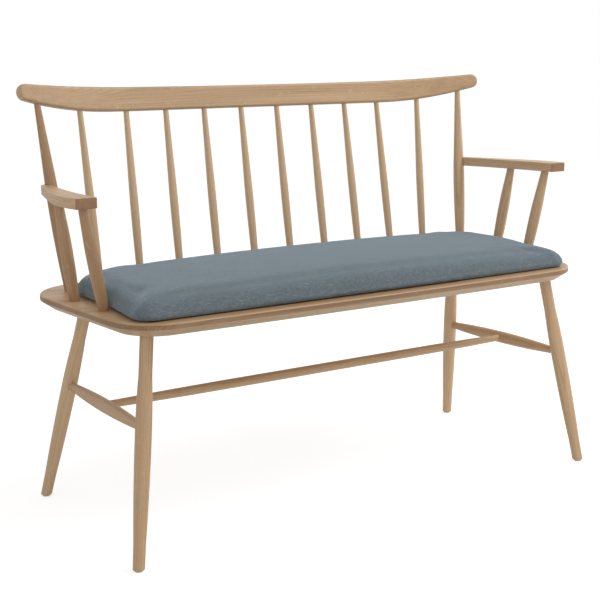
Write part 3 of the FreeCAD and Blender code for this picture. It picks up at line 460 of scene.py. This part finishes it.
def screw_material():
    material, shader = new_material("zinc_screw")
    kit = Nodes(material.node_tree)
    place = kit.add("ShaderNodeTexCoord").outputs["Object"]
    swirl = kit.noise(kit.stretch(place, (900, 900, 900)), 1.0, 3.0)
    tint = kit.blend(swirl, colour(206, 204, 190), colour(170, 166, 150))
    kit.link(tint, shader.inputs["Base Color"])
    kit.link(kit.spread(swirl, 0.3, 0.7, 0.28, 0.45), shader.inputs["Roughness"])
    shader.inputs["Metallic"].default_value = 1.0
    return material


def foam_material():
    material, shader = new_material("pad_foam")
    kit = Nodes(material.node_tree)
    place = kit.add("ShaderNodeTexCoord").outputs["Object"]
    cells = kit.noise(kit.stretch(place, (900, 900, 900)), 1.0, 2.0)
    tint = kit.blend(cells, colour(226, 214, 178), colour(206, 190, 150))
    kit.link(tint, shader.inputs["Base Color"])
    shader.inputs["Roughness"].default_value = 0.9
    return material


def dress_fittings():
    nylon = nylon_material()
    beech = beech_material()
    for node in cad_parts:
        if node.startswith("glide"):
            dress(node, nylon)
        if node.startswith("arm_dowel"):
            dress(node, beech)
    dress("pad_board", plywood_material())
    dress("pad_screws", screw_material())
    dress("pad_foam", foam_material())


# The woven cover

THREAD = 0.0011
YARN_LIGHT = colour(156, 167, 173)
YARN_MIDDLE = colour(114, 125, 130)
YARN_DARK = colour(76, 87, 91)
YARN_GAP_SHADE = colour(52, 60, 66)
LINT_COLOUR = colour(196, 202, 204)
SLUB_COLOUR = colour(178, 186, 190)

# How finely each mark of the cloth repeats in a metre, across and down
BEND = (90, 90, 0)
MOTTLE = (150, 190, 0)
DRIFT = (9, 9, 0)
LINT = (520, 520, 0)
SLUB = (60, 230, 0)
FUZZ = (2600, 2600, 0)
ALONG_YARN = 70.0
WEFT_SEED = 3.3


def weave_material():
    """Blue-grey plain weave of mottled wool yarn, drawn on the cover's own UV map, in metres."""
    material, shader = new_material("blue_grey_weave")
    kit = Nodes(material.node_tree)
    cloth = kit.add("ShaderNodeUVMap", uv_map="cloth").outputs["UV"]
    bend = kit.noise(kit.stretch(cloth, BEND), 1.0, 2.0)
    nudge = kit.maths("MULTIPLY", kit.about_zero(bend), THREAD * 0.9)
    cloth = kit.shift(cloth, kit.join(nudge, nudge, 0.0))
    across, down, _ = kit.split(cloth)
    warp = kit.maths("MULTIPLY", across, 1 / THREAD)
    weft = kit.maths("MULTIPLY", down, 1 / THREAD)
    warp_round = kit.maths("ABSOLUTE", kit.maths("SINE", kit.maths("MULTIPLY", warp, math.pi)))
    weft_round = kit.maths("ABSOLUTE", kit.maths("SINE", kit.maths("MULTIPLY", weft, math.pi)))
    checks = kit.maths("ADD", kit.maths("FLOOR", warp), kit.maths("FLOOR", weft))
    over = kit.maths("GREATER_THAN", kit.maths("FRACT", kit.maths("MULTIPLY", checks, 0.5)), 0.25)
    rise_warp = kit.maths("MULTIPLY", warp_round, kit.maths("MULTIPLY_ADD", weft_round, 0.6, 0.4))
    rise_weft = kit.maths("MULTIPLY", weft_round, kit.maths("MULTIPLY_ADD", warp_round, 0.6, 0.4))
    crown = kit.pick(over, rise_weft, rise_warp)

    along_warp = kit.join(kit.maths("FLOOR", warp), kit.maths("MULTIPLY", down, ALONG_YARN), 0.0)
    along_weft = kit.join(kit.maths("MULTIPLY", across, ALONG_YARN), kit.maths("FLOOR", weft), WEFT_SEED)
    yarn = kit.pick(over, kit.noise(along_weft, 1.0, 3.0, 0.6), kit.noise(along_warp, 1.0, 3.0, 0.6))
    mottle = kit.noise(kit.stretch(cloth, MOTTLE), 1.0, 4.0, 0.7)
    drift = kit.noise(kit.stretch(cloth, DRIFT), 1.0, 2.0)
    tone = kit.maths("MULTIPLY_ADD", kit.about_zero(yarn), 1.1, 0.5)
    tone = kit.add_share(tone, kit.about_zero(mottle), 0.8)
    tone = kit.add_share(tone, kit.about_zero(drift), 0.16, clamp=True)
    tint = kit.blend(kit.spread(tone, 0.05, 0.6), YARN_DARK, YARN_MIDDLE)
    tint = kit.blend(kit.spread(tone, 0.5, 1.0), tint, YARN_LIGHT)
    # Painted shade in the gaps between the threads, where the weave sinks
    tint = kit.blend(kit.spread(crown, 0.0, 0.4, 0.6, 0.0), tint, YARN_GAP_SHADE)
    lint = kit.noise(kit.stretch(cloth, LINT), 1.0, 2.0, 0.6)
    tint = kit.blend(kit.spread(lint, 0.70, 0.76, 0.0, 0.5), tint, LINT_COLOUR)
    slub = kit.noise(kit.stretch(cloth, SLUB), 1.0, 3.0, 0.6, 0.6)
    tint = kit.blend(kit.spread(slub, 0.62, 0.72, 0.0, 0.36), tint, SLUB_COLOUR)
    kit.link(tint, shader.inputs["Base Color"])

    bump = kit.add("ShaderNodeBump")
    bump.inputs["Strength"].default_value = 0.55
    bump.inputs["Distance"].default_value = 0.0004
    fuzz = kit.noise(kit.stretch(cloth, FUZZ), 1.0, 2.0)
    kit.link(kit.maths("MULTIPLY_ADD", fuzz, 0.3, crown), bump.inputs["Height"])
    kit.link(bump.outputs["Normal"], shader.inputs["Normal"])
    shader.inputs["Roughness"].default_value = 0.92
    shader.inputs["Specular IOR Level"].default_value = 0.2
    shader.inputs["Sheen Weight"].default_value = 0.75
    shader.inputs["Sheen Roughness"].default_value = 0.36
    shader.inputs["Sheen Tint"].default_value = (0.72, 0.87, 1.0, 1.0)
    return material


# The pad: where it rests, how finely it is meshed, how far its cloth may swell, and from what
# height above its bottom it is free to
PLANK_TOP = 0.430
BOTTOM = PLANK_TOP + 0.0004
FLAT_UNDER = 0.0012
VOXEL = 0.006
SWELL_STEPS = 16
SWELL_LIMIT = 0.005
FREE_ABOVE = 0.016
GRIP_FADE = 0.012

# How far it stands past its packed plan, and where its front corners begin, as shares of its halves
END_FULLER = 0.003
SIDE_FULLER = 0.001
CORNER_FULLER = 0.011
CORNER_FROM_END = 0.86
CORNER_FROM_FRONT = 0.35
CORNER_RUN = 0.5

# Depth of the broad hollows and of the pulls round the shoulder, how far above the plank they
# begin, and where the shoulder begins: in shares of the cover's halves, and below its top
BROAD_HOLLOW = 0.0006
SHOULDER_PULL = 0.0005
CREASE_ABOVE = 0.004
SHOULDER_END = 0.8
SHOULDER_SIDE = 0.6
SHOULDER_DROP = 0.010


def copy_solids(name, nodes):
    """One new mesh from copies of some solids."""
    deselect_all()
    copies = []
    for node in nodes:
        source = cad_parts[node]
        copy = bpy.data.objects.new(name, source.data.copy())
        copy.matrix_world = source.matrix_world.copy()
        bpy.context.collection.objects.link(copy)
        copies.append(copy)
    for copy in copies:
        copy.select_set(True)
    bpy.context.view_layer.objects.active = copies[0]
    bpy.ops.object.join()
    piece = bpy.context.object
    piece.name = name
    bpy.ops.object.transform_apply(location=True, rotation=True, scale=True)
    return piece


def puff(piece):
    """Let the air inside swell the cloth, held down where it rests on the plank."""
    rest = read_vertices(piece, "co")
    held = piece.vertex_groups.new(name="held")
    grip = (BOTTOM + FREE_ABOVE - rest[:, 2]) / GRIP_FADE
    for k, hold in enumerate(np.clip(grip, 0, 1)):
        if hold > 0:
            held.add([k], float(hold), "REPLACE")
    cloth = piece.modifiers.new("puff", "CLOTH")
    settings = cloth.settings
    settings.quality = 5
    settings.mass = 0.3
    settings.tension_stiffness = 12
    settings.compression_stiffness = 8
    settings.shear_stiffness = 5
    settings.bending_stiffness = 0.6
    settings.use_pressure = True
    settings.uniform_pressure_force = 4
    settings.vertex_group_mass = "held"
    settings.effector_weights.gravity = 0
    cloth.collision_settings.use_collision = False
    for step in range(1, SWELL_STEPS + 1):
        scene.frame_set(step)
    settled = piece.evaluated_get(bpy.context.evaluated_depsgraph_get())
    move = read_vertices(settled, "co") - rest
    scene.frame_set(1)
    piece.modifiers.remove(cloth)
    piece.vertex_groups.clear()
    far = np.linalg.norm(move, axis=1)
    move *= np.minimum(1, SWELL_LIMIT / np.maximum(far, 1e-9))[:, None]
    move_vertices(piece, rest + move)


def settle(piece):
    """Keep the pad's underside flat on the plank."""
    places = read_vertices(piece, "co")
    low = places[:, 2] < BOTTOM + FLAT_UNDER
    places[low, 2] = BOTTOM
    move_vertices(piece, places)


def fill_out(piece):
    """Bring the smoothed cushion back out to its packed plan, fullest at its front corners."""
    low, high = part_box("pad_cover")
    places = read_vertices(piece, "co")
    for axis, fuller in ((0, END_FULLER), (1, SIDE_FULLER)):
        middle = (low[axis] + high[axis]) / 2
        half = (high[axis] - low[axis]) / 2
        off = places[:, axis] - middle
        places[:, axis] = middle + off * (half + fuller) / np.abs(off).max()
    end = np.clip((np.abs(places[:, 0]) / high[0] - CORNER_FROM_END) / (1 - CORNER_FROM_END), 0, 1)
    front = np.clip((places[:, 1] / low[1] - CORNER_FROM_FRONT) / CORNER_RUN, 0, 1)
    push = end * front
    places[:, 0] += np.sign(places[:, 0]) * push * CORNER_FULLER
    places[:, 1] -= push * CORNER_FULLER / 4
    move_vertices(piece, places)


def crease(piece):
    """Faint pulls and hollows in the cloth round the shoulder, strongest by the corners."""
    low, high = (Vector(corner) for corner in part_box("pad_cover"))
    middle = (low + high) / 2
    half = (high - low) / 2
    places = read_vertices(piece, "co")
    normals = read_vertices(piece, "normal")
    amounts = np.zeros(len(places))
    for k, (x, y, z) in enumerate(places):
        if z < BOTTOM + CREASE_ABOVE:
            continue
        near_end = max(0.0, (abs(x - middle.x) / half.x - SHOULDER_END) / (1 - SHOULDER_END))
        near_side = max(0.0, (abs(y - middle.y) / half.y - SHOULDER_SIDE) / (1 - SHOULDER_SIDE))
        shoulder = min(1.0, near_end + near_side)
        broad = noise.noise(Vector((x * 9, y * 14, z * 20)))
        pull = noise.noise(Vector((x * 34 + y * 20, y * 30 - x * 14, z * 60)))
        amounts[k] = BROAD_HOLLOW * broad + SHOULDER_PULL * shoulder * pull
    places += normals * amounts[:, None]
    move_vertices(piece, places)


def lay_cloth(piece):
    """UV map of the cloth, straight on top and folded down over the sides."""
    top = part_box("pad_cover")[1][2]
    mesh = piece.data
    layer = mesh.uv_layers.new(name="cloth")
    places = read_vertices(piece, "co")
    flat = read_vertices(piece, "normal")[:, :2]
    flat = flat / np.maximum(np.linalg.norm(flat, axis=1), 1e-4)[:, None]
    drop = np.clip(top - SHOULDER_DROP - places[:, 2], 0, None)
    drawn = places[:, :2] + flat * drop[:, None]
    corners = np.empty(len(mesh.loops), dtype=np.int64)
    mesh.loops.foreach_get("vertex_index", corners)
    layer.data.foreach_set("uv", drawn[corners].ravel())


def make_pad():
    piece = copy_solids("seat_pad", ("pad_foam", "pad_board"))
    make_active(piece)
    remesh = piece.modifiers.new("remesh", "REMESH")
    remesh.mode = "VOXEL"
    remesh.voxel_size = VOXEL
    bpy.ops.object.modifier_apply(modifier="remesh")
    puff(piece)
    settle(piece)
    smooth = piece.modifiers.new("even", "SMOOTH")
    smooth.factor = 0.5
    smooth.iterations = 4
    bpy.ops.object.modifier_apply(modifier="even")
    finer = piece.modifiers.new("finer", "SUBSURF")
    finer.levels = 1
    finer.render_levels = 1
    bpy.ops.object.modifier_apply(modifier="finer")
    fill_out(piece)
    crease(piece)
    lay_cloth(piece)
    bpy.ops.object.shade_smooth()
    piece.data.materials.clear()
    piece.data.materials.append(weave_material())
    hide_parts("pad_cover", "pad_foam")
    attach(piece, "root")


# Floor, light and background

FLOOR_SIZE = 60
FLOOR_BELOW = 0.0002
FLOOR_PALE = 0.93
FLOOR_SEEN = 0.60
FLOOR_GLOW = 0.66

# Soft lamps: place, the point that each faces, width and height in metres, and watts
LAMPS = {
    "key": ((2.0, -1.5, 3.0), (0, 0, 0.45), 2.0, 1.6, 54),
    "fill": ((-2.6, -2.2, 1.6), (0, 0, 0.5), 2.0, 1.6, 10),
    "side": ((2.8, 0.2, 0.8), (0, 0, 0.3), 1.4, 1.2, 9),
}
ROOM_LIGHT = 0.56


def make_floor():
    """A floor that lights the bench as a pale one does, seen as white with the bench's shadow."""
    bpy.ops.mesh.primitive_plane_add(size=FLOOR_SIZE, location=(0, 0, -FLOOR_BELOW))
    floor = bpy.context.object
    floor.name = "floor"
    material, shader = new_material("pale_floor")
    kit = Nodes(material.node_tree)
    seen = kit.add("ShaderNodeLightPath").outputs["Is Camera Ray"]
    kit.link(kit.spread(seen, 0, 1, FLOOR_PALE, FLOOR_SEEN), shader.inputs["Base Color"])
    kit.link(kit.spread(seen, 0, 1, 0.0, FLOOR_GLOW), shader.inputs["Emission Strength"])
    shader.inputs["Emission Color"].default_value = (1, 1, 1, 1)
    shader.inputs["Roughness"].default_value = 0.9
    shader.inputs["Specular IOR Level"].default_value = 0.1
    floor.data.materials.append(material)


def soft_lamp(name, place, aim, width, height, power):
    toward = (Vector(aim) - Vector(place)).to_track_quat("-Z", "Y")
    bpy.ops.object.light_add(type="AREA", location=place, rotation=toward.to_euler())
    lamp = bpy.context.object
    lamp.name = name
    lamp.data.shape = "RECTANGLE"
    lamp.data.size = width
    lamp.data.size_y = height
    lamp.data.energy = power


def make_light():
    world = bpy.data.worlds.new("studio")
    scene.world = world
    world.use_nodes = True
    kit = Nodes(world.node_tree)
    kit.tree.nodes.clear()
    output = kit.add("ShaderNodeOutputWorld")
    seen = kit.add("ShaderNodeBackground")
    seen.inputs["Color"].default_value = (1, 1, 1, 1)
    seen.inputs["Strength"].default_value = 1.0
    lit = kit.add("ShaderNodeBackground")
    lit.inputs["Color"].default_value = (0.97, 0.985, 1.0, 1)
    lit.inputs["Strength"].default_value = ROOM_LIGHT
    path = kit.add("ShaderNodeLightPath")
    direct = kit.maths("MAXIMUM", path.outputs["Is Camera Ray"], path.outputs["Is Glossy Ray"])
    mix = kit.add("ShaderNodeMixShader")
    kit.link(direct, mix.inputs[0])
    kit.link(lit.outputs[0], mix.inputs[1])
    kit.link(seen.outputs[0], mix.inputs[2])
    kit.link(mix.outputs[0], output.inputs["Surface"])
    for name, lamp in LAMPS.items():
        soft_lamp(name, *lamp)


place_camera()
dress_wood()
dress_fittings()
make_pad()
make_floor()
make_light()

scene.view_settings.view_transform = "Standard"
